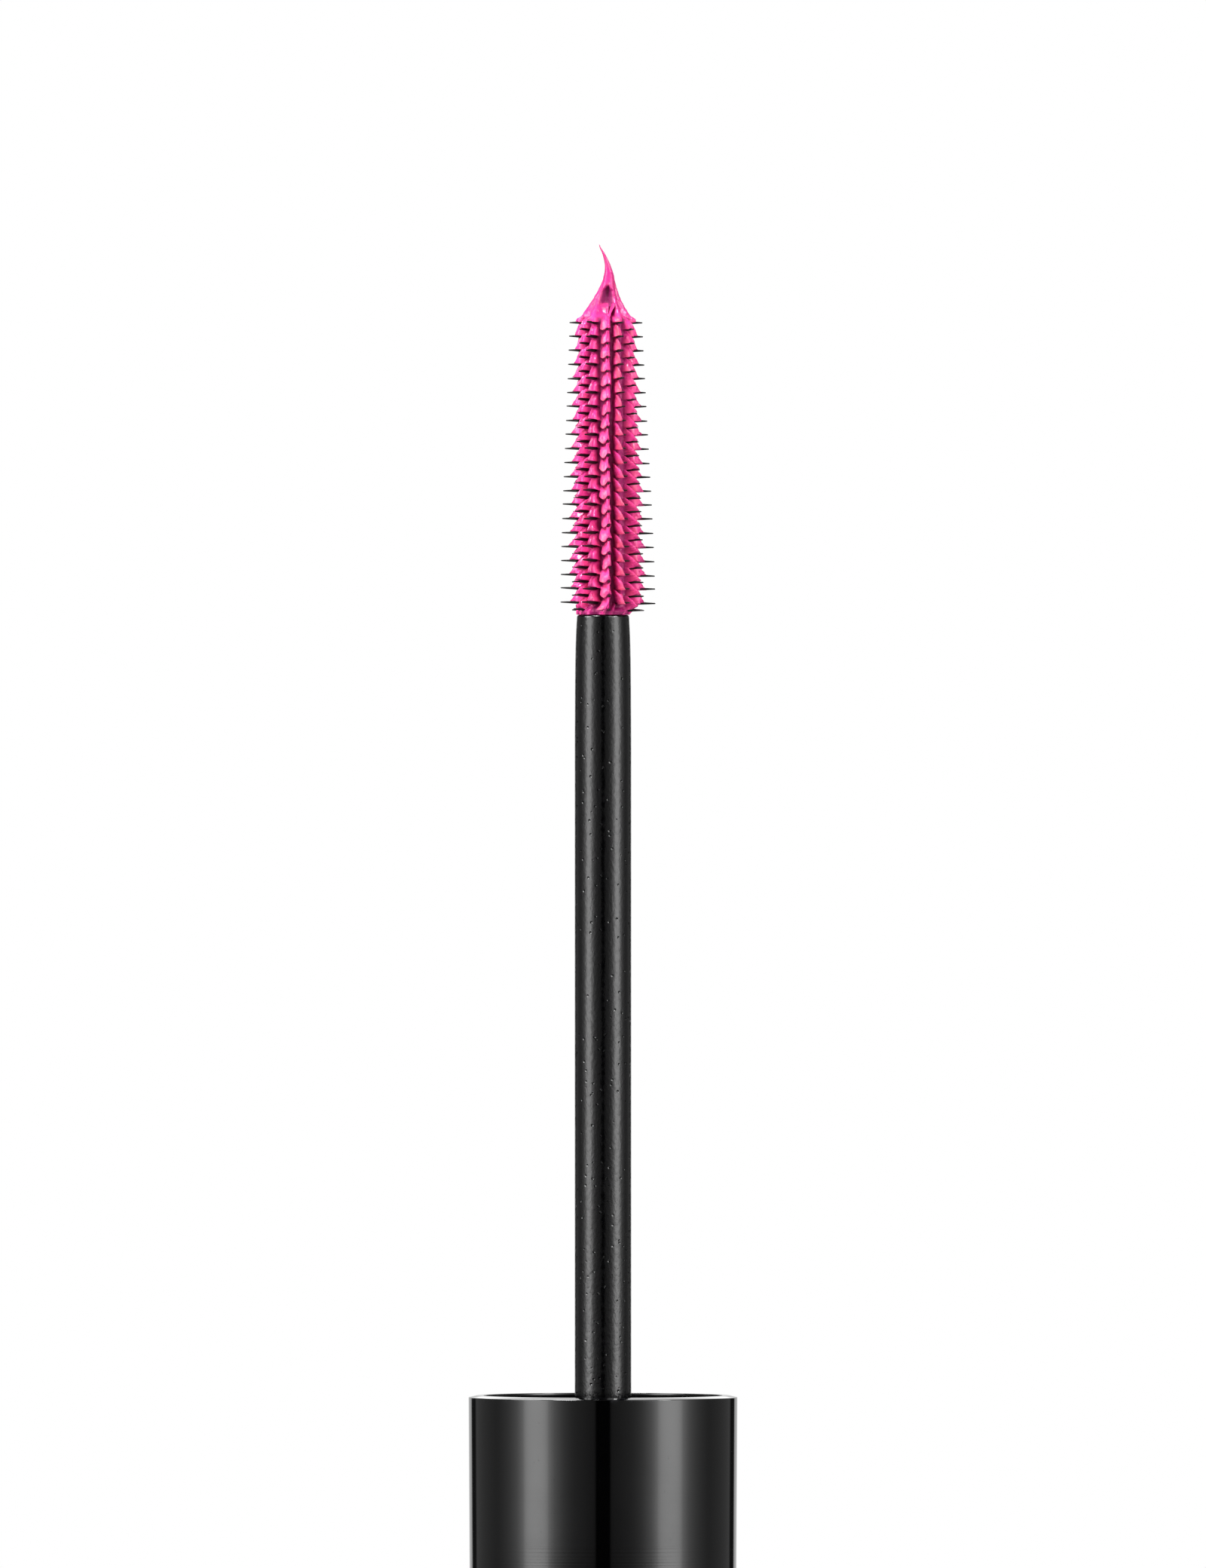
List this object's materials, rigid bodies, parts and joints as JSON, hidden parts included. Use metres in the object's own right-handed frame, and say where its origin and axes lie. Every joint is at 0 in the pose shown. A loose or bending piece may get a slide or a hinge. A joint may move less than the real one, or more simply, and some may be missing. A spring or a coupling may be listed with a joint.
{
  "type": "mascara applicator cap with wand",
  "caption": "Black mascara cap standing on its closed end, with its stem and moulded bristle brush upright, loaded with bright mascara drawn out to a curved peak.",
  "frame": {"origin": "centre of the cap's closed end, where it stands", "axes": "+Z along the cap and stem towards the brush; -Y is the front, +X is to the right of someone facing the front; the peak of mascara leans to -X"},
  "size_m": [0.019, 0.019, 0.1333],
  "materials": {
    "overcap_gloss": "polished black, faint turned lines",
    "liner_plastic": "moulded satin black",
    "weight_steel": "zinc plated, turned",
    "washer_foam": "fine-celled, matte off-white",
    "stem_plastic": "glossy black with fine specks",
    "core_plastic": "moulded satin black",
    "bristle_rubber": "satin black elastomer",
    "mascara": "wet gloss, bright pink cream"
  },
  "bodies": {
    "root": {"overcap": "overcap_gloss", "inner_cap": "liner_plastic", "balance_weight": "weight_steel", "seal_washer": "washer_foam", "stem": "stem_plastic", "brush_core": "core_plastic", "bristle_sleeve": "bristle_rubber", "mascara_load": "mascara"}
  },
  "joints": []
}
